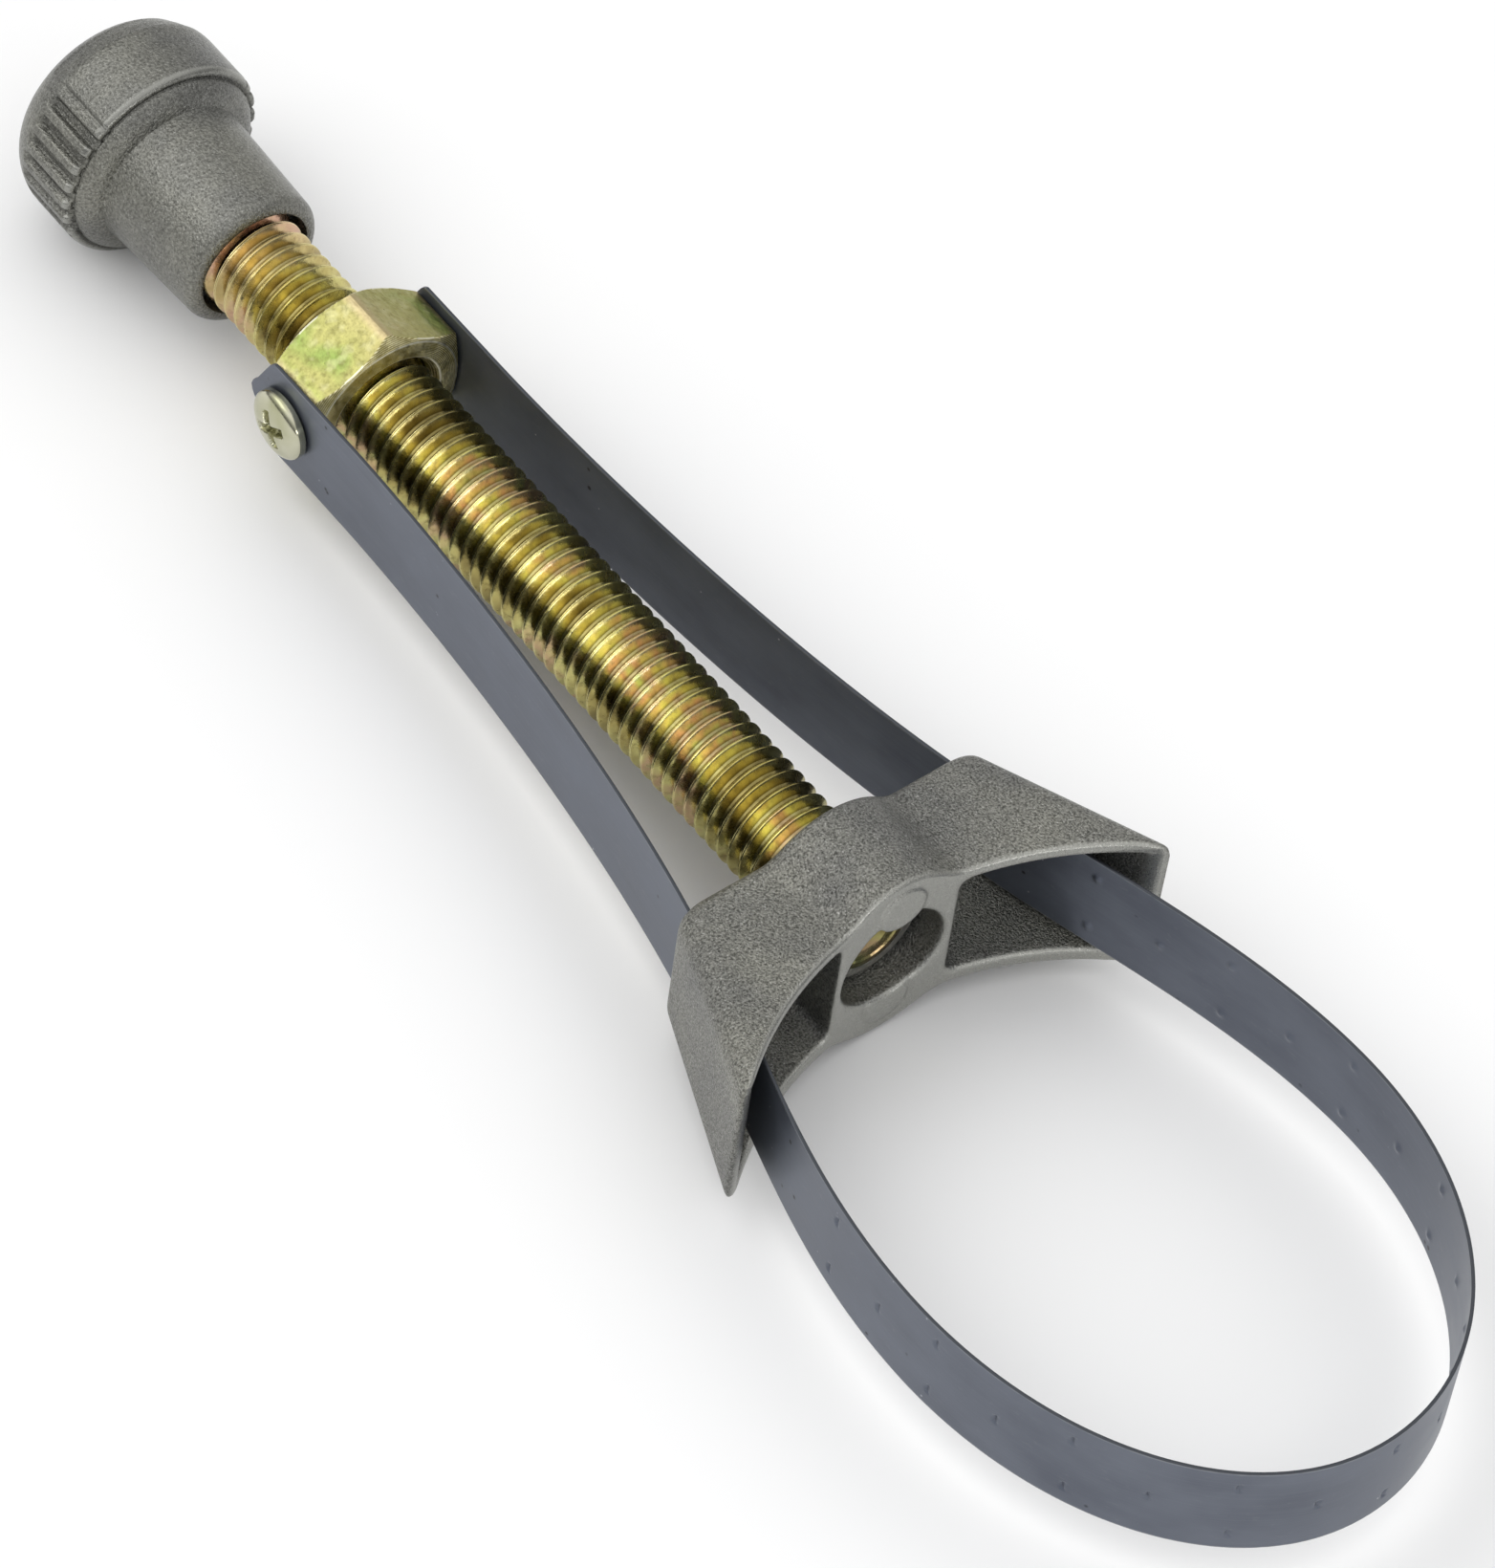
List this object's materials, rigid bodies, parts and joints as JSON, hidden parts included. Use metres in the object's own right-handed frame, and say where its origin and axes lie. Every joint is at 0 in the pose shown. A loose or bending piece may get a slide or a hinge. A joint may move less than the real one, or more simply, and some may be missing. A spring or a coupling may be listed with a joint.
{
  "type": "strap oil filter wrench",
  "caption": "Oil filter wrench: a spring steel strap loop closed through a cast saddle by a nut on a threaded spindle that a cast knob turns.",
  "frame": {"origin": "centre of the knob's flat end face", "axes": "+X along the spindle from the knob to the loop, +Z along the axis of the strap's loop, +Y across the loop"},
  "size_m": [0.2713, 0.0706, 0.0318],
  "materials": {
    "cast_metal": "sand-textured casting",
    "yellow_zinc": "yellow zinc plating",
    "pale_zinc": "pale zinc plating",
    "spring_steel": "satin blue-grey strip",
    "grey_steel": "plain steel"
  },
  "bodies": {
    "saddle": {"saddle": "cast_metal"},
    "spindle": {"spindle": "yellow_zinc", "retaining_washer": "grey_steel", "knob": "cast_metal", "knob_pin": "grey_steel"},
    "nut": {"nut": "yellow_zinc", "strap_screw_left": "pale_zinc", "strap_screw_right": "pale_zinc", "strap_run_left": "spring_steel", "strap_run_right": "spring_steel"},
    "loop": {"strap_loop": "spring_steel"}
  },
  "joints": [
    {"name": "knob_turn", "type": "hinge", "parent": "saddle", "child": "spindle", "pos_m": [0, 0, 0], "axis": [1, 0, 0], "range_deg": [-9000, 2160]},
    {"name": "nut_travel", "type": "slide", "parent": "saddle", "child": "nut", "axis": [1, 0, 0], "range_m": [-0.0139, 0.0577], "deforming": ["strap_run_left", "strap_run_right"]},
    {"name": "loop_travel", "type": "slide", "parent": "saddle", "child": "loop", "axis": [1, 0, 0], "range_m": [-0.0139, 0.0577], "deforming": ["strap_loop"]}
  ],
  "couplings": [
    {"joint": "nut_travel", "follows": "knob_turn", "m_per_rad": -0.00036749},
    {"joint": "loop_travel", "follows": "knob_turn", "m_per_rad": -0.00036749}
  ]
}
